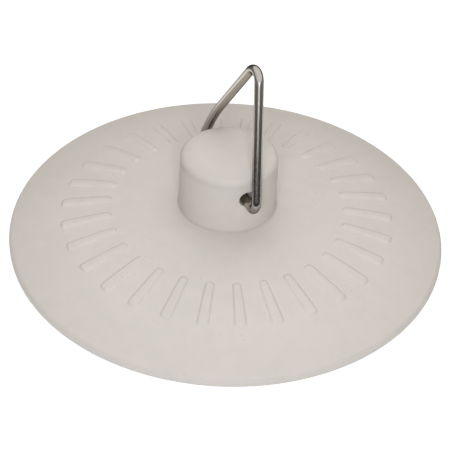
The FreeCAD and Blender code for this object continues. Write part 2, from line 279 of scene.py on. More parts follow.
@dataclass(frozen=True)
class RubberFinish:
    """Off-white moulded rubber: satin and mottled, with painted shade on its outer band, boss-top edge and
    foot crease, and painted light in the cross hole.
    """

    body_colour: Colour = (0.655, 0.603, 0.557)
    cool_colour: Colour = (0.622, 0.584, 0.538)
    speck_colour: Colour = (0.430, 0.385, 0.330)
    # Painted light: a lighter colour inside the cross hole.
    hole_light_colour: Colour = (0.840, 0.785, 0.725)
    # Painted shade for the crease at the boss foot.
    crease_shade_colour: Colour = (0.330, 0.290, 0.245)
    # Painted shade: a darker colour for the boss top's edge and the disc's outer band.
    painted_shade_colour: Colour = (0.480, 0.432, 0.378)
    shade_side: Way = (-0.94, 0.34, 0.0)
    speck_share: float = 0.30
    top_edge_shade_share: float = 0.45
    # Share of painted shade on the disc's outer band.
    rim_shade_share: float = 0.14
    crease_shade_share: float = 0.30
    roughness: float = 0.56
    gloss: float = 0.32
    bump_strength: float = 0.50
    bump_depth: float = 0.03 * MM
    blotch_relief: float = 1.6
    grain_relief: float = 0.7
    blotch_dulling: float = 0.10
    grain_dulling: float = 0.06
    mottle_size: float = 16 * MM
    mottle_edge: Span = (0.40, 0.60)
    blotch_size: float = 3.2 * MM
    grain_size: float = 0.42 * MM
    speck_size: float = 1.6 * MM
    speck_patch: float = 6.4 * MM
    speck_edge: Span = (0.22, 0.08)
    speck_rarity: Span = (0.56, 0.66)
    shade_below_top: Span = (3.0 * MM, 0.8 * MM)
    shade_out: Span = (0.58, 0.98)
    shade_across: Span = (-0.5, 0.8)
    shade_least: float = 0.2
    rim_from: float = 0.74
    crease_inset: float = 0.12 * MM
    crease_reach: Span = (0.50 * MM, 0.10 * MM)
    hole_lip: float = 0.7
    hole_edge: float = 0.05 * MM
    hole_fade: float = 3.0 * MM

    def make(self, stopper: "RubberStopper") -> bpy.types.Material:
        """Make the material.

        Args:
            stopper: The moulding, whose sizes place the painted shade and the painted light.

        Returns:
            The material.
        """
        material, graph = new_material("off_white_rubber")
        point = graph.add("ShaderNodeTexCoord").outputs["Object"]
        mottle = graph.cloud(point, self.mottle_size, detail=3.0)
        blotch = graph.cloud(point, self.blotch_size, detail=3.0)
        grain = graph.cloud(point, self.grain_size)

        shade = (0.5 * mottle + 0.5 * blotch).rises(*self.mottle_edge)
        colour = graph.blend(shade, self.cool_colour, self.body_colour)
        # The specks are the rubber's own marks; the other masks are painted shade.
        for share, where, tint in (
            (self.speck_share, self.specks(graph, point), self.speck_colour),
            (self.top_edge_shade_share, self.painted_top_edge_shade(graph, point, stopper), self.painted_shade_colour),
            (self.rim_shade_share, self.painted_rim_shade(graph, point, stopper), self.painted_shade_colour),
            (self.crease_shade_share, self.painted_crease_shade(graph, point, stopper), self.crease_shade_colour),
        ):
            colour = graph.blend(share * where, colour, tint)
        # Painted light inside the cross hole.
        colour = graph.blend(self.painted_hole_light(graph, point, stopper), colour, self.hole_light_colour)

        relief = self.grain_relief * grain + self.blotch_relief * blotch
        rough = self.roughness + self.blotch_dulling * (blotch - 0.5) + self.grain_dulling * (grain - 0.5)
        inputs = {
            "Base Color": colour,
            "Roughness": rough,
            "Specular IOR Level": self.gloss,
            "Normal": graph.bump(relief, self.bump_strength, self.bump_depth),
        }
        graph.finish(inputs)
        return material

    def specks(self, graph: Graph, point: Feed) -> Value:
        """Find the small dark specks of the moulding.

        Args:
            graph: The material's graph.
            point: The place on the rubber.

        Returns:
            1 in a speck and 0 beside it.
        """
        inputs = {"Vector": point, "Scale": 1.0 / self.speck_size}
        cells = graph.add("ShaderNodeTexVoronoi", {"feature": "F1"}, inputs)
        rarity = graph.cloud(point, self.speck_patch, detail=1.0).rises(*self.speck_rarity)
        return graph.number(cells.outputs["Distance"]).rises(*self.speck_edge) * rarity

    @staticmethod
    def off_axis(graph: Graph, point: Feed) -> Value:
        """Return the distance from the stopper's axis."""
        return graph.length(graph.vector("MULTIPLY", point, (1.0, 1.0, 0.0)))

    def painted_top_edge_shade(self, graph: Graph, point: Feed, stopper: "RubberStopper") -> Value:
        """Find the edge of the boss top that gets painted shade, strongest on its left side, for the shading
        of the rounded top.

        Args:
            graph: The material's graph.
            point: The place on the rubber.
            stopper: The moulding.

        Returns:
            How grubby the place is, from 0 to 1.
        """
        out = [share * stopper.boss_radius for share in self.shade_out]
        below = [stopper.boss_top - depth for depth in self.shade_below_top]
        across = [share * stopper.boss_radius for share in self.shade_across]
        near_edge = self.off_axis(graph, point).rises(*out)
        near_top = graph.dot(point, UP).rises(*below)
        aside = graph.dot(point, self.shade_side).rises(*across)
        # Painted shade, strongest on the left side of the boss top.
        shade_weight = self.shade_least + (1.0 - self.shade_least) * aside
        return near_edge * near_top * shade_weight

    def painted_rim_shade(self, graph: Graph, point: Feed, stopper: "RubberStopper") -> Value:
        """Return how much painted shade the outer part of the disc gets, most at its rim."""
        return self.off_axis(graph, point).rises(self.rim_from * stopper.rim_radius, stopper.rim_radius)

    def painted_crease_shade(self, graph: Graph, point: Feed, stopper: "RubberStopper") -> Value:
        """Find the crease where the boss meets the disc, which gets painted shade.

        Args:
            graph: The material's graph.
            point: The place on the rubber.
            stopper: The moulding.

        Returns:
            1 in the crease and 0 away from it.
        """
        radius = self.off_axis(graph, point) - (stopper.boss_radius + self.crease_inset)
        rise = graph.dot(point, UP) - (stopper.dome_rise + self.crease_inset)
        away = graph.add("ShaderNodeCombineXYZ", None, {0: radius, 1: rise}).outputs[0]
        return graph.length(away).rises(*self.crease_reach)

    def painted_hole_light(self, graph: Graph, point: Feed, stopper: "RubberStopper") -> Value:
        """Find the inside of the cross hole, which gets painted light.

        Args:
            graph: The material's graph.
            point: The place on the rubber.
            stopper: The moulding.

        Returns:
            1 deep in the hole and 0 outside it.
        """
        across = graph.vector("SUBTRACT", point, (0.0, 0.0, stopper.hole_rise))
        off_axis = graph.vector("CROSS_PRODUCT", across, tuple(stopper.hole_way))
        bore = stopper.hole_radius
        lip = bore + self.hole_lip * stopper.mouth_round
        inside = graph.length(off_axis).rises(lip, bore + self.hole_edge)
        depth = graph.length(across).rises(stopper.boss_radius, stopper.boss_radius - self.hole_fade)
        return inside * depth


@dataclass(frozen=True)
class SteelFinish:
    """Drawn steel wire with fine lines along it, darker low on its legs and at its elbows, bright again at
    its pins.
    """

    bright_colour: Colour = (0.57, 0.533, 0.485)
    low_leg_colour: Colour = (0.333, 0.305, 0.290)
    line_colour: Colour = (0.30, 0.285, 0.265)
    edge_tint: Colour = (0.30, 0.290, 0.280)
    line_share: float = 0.35
    roughness: float = 0.14
    bump_strength: float = 0.3
    bump_depth: float = 0.008 * MM
    worn_dulling: float = 0.12
    low_leg_dulling: float = 0.06
    low_leg_reach: Span = (16.0 * MM, 29.0 * MM)
    low_leg_end: Span = (37.0 * MM, 32.0 * MM)
    line_width: float = 0.22 * MM
    line_stretch: float = 0.03
    pit_size: float = 0.5 * MM
    worn_edge: Span = (0.45, 0.72)

    def make(self, length: float) -> bpy.types.Material:
        """Make the material.

        Args:
            length: The length of the wire.

        Returns:
            The material.
        """
        material, graph = new_material("drawn_steel_wire")
        run = graph.add("ShaderNodeAttribute", {"attribute_name": WireBail.RUN}).outputs["Vector"]
        drawn = graph.vector("MULTIPLY", run, (1.0, 1.0, self.line_stretch))
        lines = graph.cloud(drawn, self.line_width)
        pits = graph.cloud(run, self.pit_size)
        uneven = 0.6 * lines + 0.4 * pits
        worn = uneven.rises(*self.worn_edge)
        off_top = abs(graph.dot(run, UP) - length / 2)
        # Darker low on the legs and at the elbows, and back to bright at the pins.
        low_leg = off_top.rises(*self.low_leg_reach) * off_top.rises(*self.low_leg_end)

        colour = graph.blend(low_leg, self.bright_colour, self.low_leg_colour)
        colour = graph.blend(self.line_share * worn, colour, self.line_colour)
        inputs = {
            "Base Color": colour,
            "Metallic": 1.0,
            "Roughness": self.roughness + self.worn_dulling * worn + self.low_leg_dulling * low_leg,
            "Specular Tint": (*self.edge_tint, 1.0),
            "Normal": graph.bump(uneven, self.bump_strength, self.bump_depth),
        }
        graph.finish(inputs)
        return material


def put(name: str, data: bpy.types.ID) -> bpy.types.Object:
    """Put a new object into the scene.

    Args:
        name: The object's name.
        data: Its mesh, lamp or camera.

    Returns:
        The object.
    """
    made = bpy.data.objects.new(name, data)
    bpy.context.scene.collection.objects.link(made)
    return made


def unit(vector: np.ndarray) -> np.ndarray:
    """Return the vector of length 1 along another."""
    return vector / np.linalg.norm(vector)


def round_angles(count: int) -> np.ndarray:
    """Return angles spaced evenly round a circle."""
    return np.arange(count) * (2 * math.pi / count)


class Surface:
    """The points and faces of one mesh while it is built."""

    def __init__(self) -> None:
        """Start with nothing."""
        self.points: list[np.ndarray] = []
        self.faces: list[Face] = []

    def add(self, points: np.ndarray) -> np.ndarray:
        """Add points.

        Args:
            points: One row to a point.

        Returns:
            Their numbers.
        """
        first = len(self.points)
        self.points.extend(points)
        return np.arange(first, first + len(points))

    def bridge(self, lower: np.ndarray, upper: np.ndarray, open_steps: Iterable[int] = ()) -> None:
        """Join two closed rings, which have the same number of points or three times as many.

        Args:
            lower: The first ring.
            upper: The next ring on the way along the section.
            open_steps: The steps round the ring that get no face.
        """
        low = np.append(lower, lower[0])
        high = np.append(upper, upper[0])
        skipped = set(open_steps)
        if len(lower) == len(upper):
            for step in range(len(lower)):
                if step not in skipped:
                    self.faces.append((low[step], low[step + 1], high[step + 1], high[step]))
        elif len(lower) == 3 * len(upper):
            for step in range(len(upper)):
                a, b, c, d = low[3 * step:3 * step + 4]
                e, f = high[step:step + 2]
                self.faces += [(a, b, e), (b, c, f, e), (c, d, f)]
        else:
            for step in range(len(lower)):
                a, b = low[step:step + 2]
                c, d, e, f = high[3 * step:3 * step + 4]
                self.faces += [(a, d, c), (a, b, e, d), (b, f, e)]

    def cap(self, ring: np.ndarray, middle: Sequence[float], first: bool) -> None:
        """Close a ring with triangles to a point.

        Args:
            ring: The ring.
            middle: The point in its middle.
            first: Whether the ring is the section's first, and not its last.
        """
        centre = self.add(np.array([middle]))[0]
        ring = np.append(ring, ring[0])
        for a, b in zip(ring, ring[1:]):
            self.faces.append((centre, b, a) if first else (a, b, centre))

    def to_object(self, name: str, material: bpy.types.Material) -> bpy.types.Object:
        """Make a smooth mesh object.

        Args:
            name: The object's name.
            material: Its material.

        Returns:
            The object, linked to the scene.
        """
        used = np.unique(np.concatenate([np.array(face) for face in self.faces]))
        place = np.zeros(len(self.points), int)
        place[used] = np.arange(len(used))
        points = np.array(self.points)[used]
        faces = [tuple(int(place[index]) for index in face) for face in self.faces]
        mesh = bpy.data.meshes.new(name)
        mesh.from_pydata([tuple(map(float, point)) for point in points], [], faces)
        mesh.validate()
        mesh.shade_smooth()
        mesh.materials.append(material)
        return put(name, mesh)


@dataclass(frozen=True)
class Ring:
    """One ring of the moulding's section."""

    radius: float
    rise: float
    density: Density = Density.PLAIN
    pierced: bool = False


def arc(centre: Spot, radius: float, first: float, last: float, steps: int) -> list[Spot]:
    """Return points along an arc from one angle to another, both ends among them."""
    angles = np.linspace(first, last, steps + 1)
    return [(centre[0] + radius * math.cos(a), centre[1] + radius * math.sin(a)) for a in angles]


@dataclass
class RubberStopper:
    """The one-piece moulding: thin domed disc, rounded rim, boss, cross hole and a ring of ribs."""

    rim_radius: float = 55.0 * MM
    rim_top_round: float = 1.5 * MM
    rim_foot_round: float = 0.3 * MM
    rim_thickness: float = 2.0 * MM
    land_width: float = 3.0 * MM
    land_edge: float = 0.12 * MM
    land_edge_rise: float = 0.045 * MM
    dome_rise: float = 8.85 * MM
    cone_radius: float = 25.0 * MM
    cone_slope: float = math.radians(4.0)
    disc_wall: float = 2.5 * MM
    boss_radius: float = 12.3 * MM
    boss_height: float = 14.8 * MM
    boss_draft: float = math.radians(1.0)
    boss_crown: float = 0.9 * MM
    boss_top_round: float = 1.5 * MM
    boss_foot_round: float = 0.35 * MM
    hole_radius: float = 2.0 * MM
    hole_rise: float = 18.35 * MM
    hole_azimuth: float = math.radians(294.0)
    mouth_round: float = 0.35 * MM
    rib_inner_radius: float = 29.4 * MM
    rib_outer_radius: float = 41.9 * MM
    rib_relief: float = 0.45 * MM
    rib_sweep: float = math.radians(3.8)
    rib_count: int = 30
    rib_corner: float = 0.85 * MM
    rib_edge: Span = (-0.20 * MM, 0.30 * MM)
    rib_steps: tuple[float, ...] = (2.42, 1.74, 1.315, 1.158, 1.042, 0.926, 0.79, 0.474)
    swell: float = 0.07 * MM
    swell_size: float = 17 * MM
    swell_band: Span = (14 * MM, 53 * MM)
    swell_fade: float = 6 * MM
    patch_steps: int = 14
    patch_half_height: float = 3.0 * MM
    patch_shares: tuple[float, ...] = (0.3, 0.55, 0.78, 0.93)
    throat_reach: tuple[float, ...] = mm(11.3, 10.6, 9.4, 7.8, 5.8, 3.6, 1.2)
    fit_rounds: int = 20

    @property
    def hole_way(self) -> Vector:
        """The direction out of the cross hole's front mouth."""
        return Vector((math.cos(self.hole_azimuth), math.sin(self.hole_azimuth), 0.0))

    @property
    def cone_end_rise(self) -> float:
        """The height of the top where the cone turns into the dome."""
        return self.dome_rise - (self.cone_radius - self.boss_radius) * math.tan(self.cone_slope)

    @property
    def boss_top(self) -> float:
        """The height of the boss top's edge before it is rounded."""
        return self.dome_rise + self.boss_height

    def bend_from_cone(self, start: Spot, end: Spot) -> tuple[Spot, float]:
        """Work out the arc that goes on from the cone without a corner.

        Args:
            start: The end of the cone.
            end: A point on the arc further out.

        Returns:
            The arc's centre and its radius.
        """
        run = end[0] - start[0]
        fall = start[1] - end[1]
        sine, cosine = math.sin(self.cone_slope), math.cos(self.cone_slope)
        radius = (run ** 2 + fall ** 2) / (2 * (fall * cosine - run * sine))
        return (start[0] - radius * sine, start[1] - radius * cosine), radius

    @property
    def dome(self) -> tuple[Spot, float]:
        """The centre and radius of the dome's arc."""
        start = (self.cone_radius, self.cone_end_rise)
        return self.bend_from_cone(start, (self.rim_radius, self.rim_thickness))

    def dome_at(self, radius: float) -> float:
        """Return the height of the dome at a distance from the stopper's axis."""
        (across, up), bend = self.dome
        return up + math.sqrt(bend ** 2 - (radius - across) ** 2)

    def cone_at(self, radius: float) -> float:
        """Return the height of the cone beside the boss."""
        return self.dome_rise - (radius - self.boss_radius) * math.tan(self.cone_slope)

    def wall_at(self, rise: float | np.ndarray) -> float | np.ndarray:
        """Return the radius of the boss wall at one height or more."""
        return self.boss_radius - (rise - self.dome_rise) * math.tan(self.boss_draft)

    def underside(self) -> list[Ring]:
        """Lay out the hollow underside, from the middle out to the land.

        Returns:
            Its rings.
        """
        flat = self.dome_rise - self.disc_wall
        rings = [Ring(r, flat, Density.POLE) for r in mm(1.3, 2.6)]
        rings += [Ring(r, flat, Density.SPARSE) for r in mm(4.2, 6.2)]
        rings += [Ring(r, flat) for r in mm(8.6, 10.4, 11.7, 12.1)]
        cone = mm(12.5, 12.9, 14.5, 17.0, 19.5, 22.0, 25.0)
        rings += [Ring(r, self.cone_at(r) - self.disc_wall) for r in cone]

        start = (self.cone_radius, self.cone_end_rise - self.disc_wall)
        land = self.rim_radius - self.land_width
        (across, up), bend = self.bend_from_cone(start, (land, 0.0))
        hollow = mm(28.0, 31.0, 34.0, 37.0, 40.0, 43.0, 46.0, 48.5, 50.5, 51.5)
        rings += [Ring(r, up + math.sqrt(bend ** 2 - (r - across) ** 2)) for r in hollow]
        rings += [Ring(land - self.land_edge, self.land_edge_rise), Ring(land + self.land_edge, 0.0)]
        return rings + [Ring(r, 0.0) for r in (land + 0.4 * MM, *mm(53.7, 54.4))]

    def rim(self) -> list[Ring]:
        """Lay out the rim, from its foot over its rounded top.

        Returns:
            Its rings.
        """
        foot = (self.rim_radius - self.rim_foot_round, self.rim_foot_round)
        spots = arc(foot, self.rim_foot_round, -math.pi / 2, 0.0, steps=5)
        (across, up), bend = self.dome
        inset = self.rim_radius - self.rim_top_round
        middle = (inset, up + math.sqrt((bend - self.rim_top_round) ** 2 - (inset - across) ** 2))
        last = math.atan2(middle[1] - up, middle[0] - across)
        spots += [(self.rim_radius, (self.rim_foot_round + middle[1]) / 2)]
        spots += arc(middle, self.rim_top_round, 0.0, last, steps=9)
        return [Ring(r, z) for r, z in spots]

    def disc_top(self) -> list[Ring]:
        """Lay out the disc's top, from the rim in to the foot of the boss.

        Returns:
            Its rings.
        """
        outer = mm(53.7, 53.2, 52.2, 50.8, 49.3, 47.8, 46.2, 44.6)
        rib_end = mm(-0.45, -0.25, -0.10, 0.05, 0.20, 0.40, 0.65, 0.95, 1.35, 2.0)
        ribbed = [self.rib_outer_radius - step for step in rib_end]
        ribbed += mm(38.0, 35.6, 33.2)
        ribbed += [self.rib_inner_radius + step for step in reversed(rib_end)]
        inner = mm(27.0, 25.0)
        cone = mm(23.0, 21.0, 19.0, 17.2, 15.7, 14.5, 13.7, 13.1)

        rings = [Ring(r, self.dome_at(r)) for r in outer]
        rings += [Ring(r, self.dome_at(r), Density.RIBBED) for r in ribbed]
        rings += [Ring(r, self.dome_at(r)) for r in inner]
        return rings + [Ring(r, self.cone_at(r)) for r in cone]

    def boss(self) -> list[Ring]:
        """Lay out the boss: foot, wall with the rows round the hole, rounded top, crown.

        Returns:
            Its rings.
        """
        first, last = math.pi / 2 - self.cone_slope - math.pi, self.boss_draft - math.pi
        foot = arc(self.corner_middle(), self.boss_foot_round, first, last, steps=4)
        rings = [Ring(*spot) for spot in foot]
        rings += [Ring(self.wall_at(z), z) for z in mm(9.45, 10.4, 11.7, 13.0, 14.3)]
        rows = self.patch_rows()
        rings += [Ring(self.wall_at(z), z, pierced=z < rows[-1]) for z in rows]

        edge = self.wall_at(self.boss_top)
        crown_bend = (edge ** 2 + self.boss_crown ** 2) / (2 * self.boss_crown)
        crown_up = self.boss_top + self.boss_crown - crown_bend
        middle = self.top_round_middle(crown_up, crown_bend)
        last = math.atan2(middle[1] - crown_up, middle[0])
        edge_round = arc(middle, self.boss_top_round, self.boss_draft, last, steps=12)
        rings += [Ring(*spot) for spot in edge_round]
        crown = {
            Density.PLAIN: mm(9.6, 8.8, 8.0, 6.8),
            Density.SPARSE: mm(5.4, 3.8),
            Density.POLE: mm(2.6, 1.3),
        }
        for density, radii in crown.items():
            rings += [Ring(r, crown_up + math.sqrt(crown_bend ** 2 - r ** 2), density) for r in radii]
        return rings

    def corner_middle(self) -> Spot:
        """Work out the small fillet where the boss meets the disc.

        Returns:
            The middle of its arc.
        """
        normals = np.array([
            [math.sin(self.cone_slope), math.cos(self.cone_slope)],
            [math.cos(self.boss_draft), math.sin(self.boss_draft)],
        ])
        away = np.linalg.solve(normals, np.full(2, self.boss_foot_round))
        return self.boss_radius + away[0], self.dome_rise + away[1]

    def top_round_middle(self, crown_up: float, crown_bend: float) -> Spot:
        """Return the middle of the rounding between the boss wall and its crown.

        Args:
            crown_up: The height of the crown's centre.
            crown_bend: The crown's radius.

        Returns:
            The middle of the rounding's arc.
        """
        inset = self.boss_top_round / math.cos(self.boss_draft)
        rise = self.boss_top
        for _ in range(self.fit_rounds):
            radius = self.wall_at(rise) - inset
            rise = crown_up + math.sqrt((crown_bend - self.boss_top_round) ** 2 - radius ** 2)
        return self.wall_at(rise) - inset, rise

    def patch_rows(self) -> np.ndarray:
        """Return the heights of the rows of the boss wall beside the two mouths."""
        half = self.patch_half_height
        return np.linspace(self.hole_rise - half, self.hole_rise + half, self.patch_steps + 1)

    def angles(self, density: Density) -> np.ndarray:
        """Return the angles of a ring's points.

        Args:
            density: The ring's density.

        Returns:
            The angles, from half a space before the first rib.
        """
        space = 2 * math.pi / self.rib_count
        if density is not Density.RIBBED:
            return round_angles(round(self.rib_count * density.value)) - space / 2
        side = np.array(self.rib_steps) * (self.rib_sweep / 2)
        steps = np.concatenate([[-space / 2], -side, [0.0], side[::-1]])
        return (np.arange(self.rib_count)[:, None] * space + steps[None, :]).ravel()

    def rib_height(self, radius: float, angles: np.ndarray) -> np.ndarray:
        """Return how far the ribs stand above the dome.

        Args:
            radius: The distance from the stopper's axis.
            angles: The angles of the points.

        Returns:
            One height to a point.
        """
        space = 2 * math.pi / self.rib_count
        off = np.abs((angles + space / 2) % space - space / 2)
        middle = (self.rib_inner_radius + self.rib_outer_radius) / 2
        half_length = (self.rib_outer_radius - self.rib_inner_radius) / 2
        along = abs(radius - middle) - (half_length - self.rib_corner)
        aside = radius * (off - self.rib_sweep / 2) + self.rib_corner
        outside = np.hypot(np.maximum(along, 0.0), np.maximum(aside, 0.0))
        inside = self.rib_corner - outside - np.minimum(np.maximum(along, aside), 0.0)
        low, high = self.rib_edge
        share = np.clip((inside - low) / (high - low), 0.0, 1.0)
        return self.rib_relief * share * share * (3.0 - 2.0 * share)

    def unevenness(self, points: np.ndarray) -> np.ndarray:
        """Return the slight swell of the soft disc's top, which fades out at its rim and its boss.

        Args:
            points: Points of the disc's top.

        Returns:
            One height to a point.
        """
        radii = np.hypot(points[:, 0], points[:, 1])
        first, last = self.swell_band
        inner = np.clip((radii - first) / self.swell_fade, 0.0, 1.0)
        outer = np.clip((last - radii) / self.swell_fade, 0.0, 1.0)
        waves = np.array([noise.noise(Vector(point) / self.swell_size) for point in points])
        return self.swell * waves * inner * outer

    def ring_points(self, ring: Ring) -> np.ndarray:
        """Return the points of one ring.

        Args:
            ring: The ring.

        Returns:
            One row to a point.
        """
        angles = self.angles(ring.density)
        radius = np.full(len(angles), ring.radius)
        rise = np.full(len(angles), ring.rise)
        if ring.density is Density.RIBBED:
            (across, up), bend = self.dome
            height = self.rib_height(ring.radius, angles)
            radius += height * (ring.radius - across) / bend
            rise += height * (ring.rise - up) / bend
        return np.column_stack([radius * np.cos(angles), radius * np.sin(angles), rise])

    def build(self, finish: RubberFinish) -> bpy.types.Object:
        """Build and dress the moulding.

        Args:
            finish: The rubber.

        Returns:
            The moulding as one closed mesh.
        """
        surface = Surface()
        top = self.disc_top()
        rings = [*self.underside(), *self.rim(), *top, *self.boss()]
        numbers = []
        for ring in rings:
            points = self.ring_points(ring)
            if ring in top:
                points[:, 2] += self.unevenness(points)
            numbers.append(surface.add(points))

        columns = {side: self.patch_columns(side) for side in Side}
        pierced = [column for side in Side for column in columns[side][:-1]]
        surface.cap(numbers[0], (0.0, 0.0, rings[0].rise), True)
        for ring, lower, upper in zip(rings, numbers, numbers[1:]):
            surface.bridge(lower, upper, pierced if ring.pierced else ())
        surface.cap(numbers[-1], (0.0, 0.0, self.boss_top + self.boss_crown), False)

        first_row = next(index for index, ring in enumerate(rings) if ring.pierced)
        rows = numbers[first_row:first_row + self.patch_steps + 1]
        throats = {side: self.mouth(surface, rows, columns[side], side) for side in Side}
        mirrored = np.roll(throats[Side.BACK][::-1], self.patch_steps + 1)
        surface.bridge(throats[Side.FRONT], mirrored)

        made = surface.to_object("rubber_body", finish.make(self))
        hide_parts(Node.STOPPER.value)
        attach(made, Body.STOPPER.value)
        return made

    def patch_columns(self, side: Side) -> list[int]:
        """Find the steps round the boss that one mouth takes up.

        Args:
            side: Which end of the hole it is.

        Returns:
            The places of those steps in a ring.
        """
        angles = self.angles(Density.PLAIN)
        way = self.hole_azimuth + (math.pi if side is Side.BACK else 0.0)
        gap = np.abs((angles - way + math.pi) % (2 * math.pi) - math.pi)
        middle = int(np.argmin(gap))
        half = self.patch_steps // 2
        return [(middle + step) % len(angles) for step in range(-half, half + 1)]

    def mouth(
        self,
        surface: Surface,
        rows: Sequence[np.ndarray],
        columns: Sequence[int],
        side: Side,
    ) -> np.ndarray:
        """Fill the gap round one mouth of the cross hole and lead the hole inwards.

        Args:
            surface: The mesh.
            rows: The rows of the boss wall beside the mouth.
            columns: The steps round the boss that the mouth takes up.
            side: Which end of the hole it is.

        Returns:
            The last ring of the hole, anticlockwise as seen from outside.
        """
        last = self.patch_steps
        edge = [rows[0][columns[i]] for i in range(last)]
        edge += [rows[i][columns[last]] for i in range(last)]
        edge += [rows[last][columns[last - i]] for i in range(last)]
        edge += [rows[last - i][columns[0]] for i in range(last)]
        ring = np.array(edge)

        way = np.array(self.hole_way * side.value)
        right = np.array(UP.cross(self.hole_way * side.value))
        up = np.array(UP)
        corner = np.array([surface.points[number] for number in ring])
        turn = np.arctan2(corner @ right, corner @ way)
        rise = corner[:, 2]
        aim = np.arctan2(rise - self.hole_rise, self.boss_radius * turn)

        def on_wall(reach: float) -> tuple[np.ndarray, np.ndarray]:
            """Return the turns and the heights of a circle round the hole's axis, on the boss wall."""
            ups = self.hole_rise + reach * np.sin(aim)
            return np.arcsin(reach * np.cos(aim) / self.wall_at(ups)), ups

        def place(turns: np.ndarray, ups: np.ndarray, sunk: float = 0.0) -> np.ndarray:
            """Place points on the boss wall.

            Args:
                turns: Their turns round the boss.
                ups: Their heights.
                sunk: How deep they are sunk along the hole.

            Returns:
                One row to a point.
            """
            wall = self.wall_at(ups)
            outward = (wall * np.cos(turns) - sunk)[:, None] * way
            sideways = (wall * np.sin(turns))[:, None] * right
            return outward + sideways + ups[:, None] * up

        wide_turn, wide_up = on_wall(self.hole_radius + self.mouth_round)
        for share in self.patch_shares:
            turns = turn + share * (wide_turn - turn)
            ups = rise + share * (wide_up - rise)
            ring = self.step_in(surface, ring, place(turns, ups))
        for angle in np.radians((0.0, 18.0, 36.0, 54.0, 72.0, 90.0)):
            reach = self.hole_radius + self.mouth_round * (1.0 - math.sin(angle))
            sunk = self.mouth_round * (1.0 - math.cos(angle))
            ring = self.step_in(surface, ring, place(*on_wall(reach), sunk))
        circle = (self.hole_radius * np.cos(aim))[:, None] * right
        circle += (self.hole_rise + self.hole_radius * np.sin(aim))[:, None] * up
        for out in self.throat_reach:
            ring = self.step_in(surface, ring, out * way + circle)
        return ring

    @staticmethod
    def step_in(surface: Surface, ring: np.ndarray, points: np.ndarray) -> np.ndarray:
        """Add the next ring of a mouth and join it to the last.

        Args:
            surface: The mesh.
            ring: The last ring.
            points: The points of the next one.

        Returns:
            The next ring.
        """
        added = surface.add(points)
        surface.bridge(ring, added)
        return added


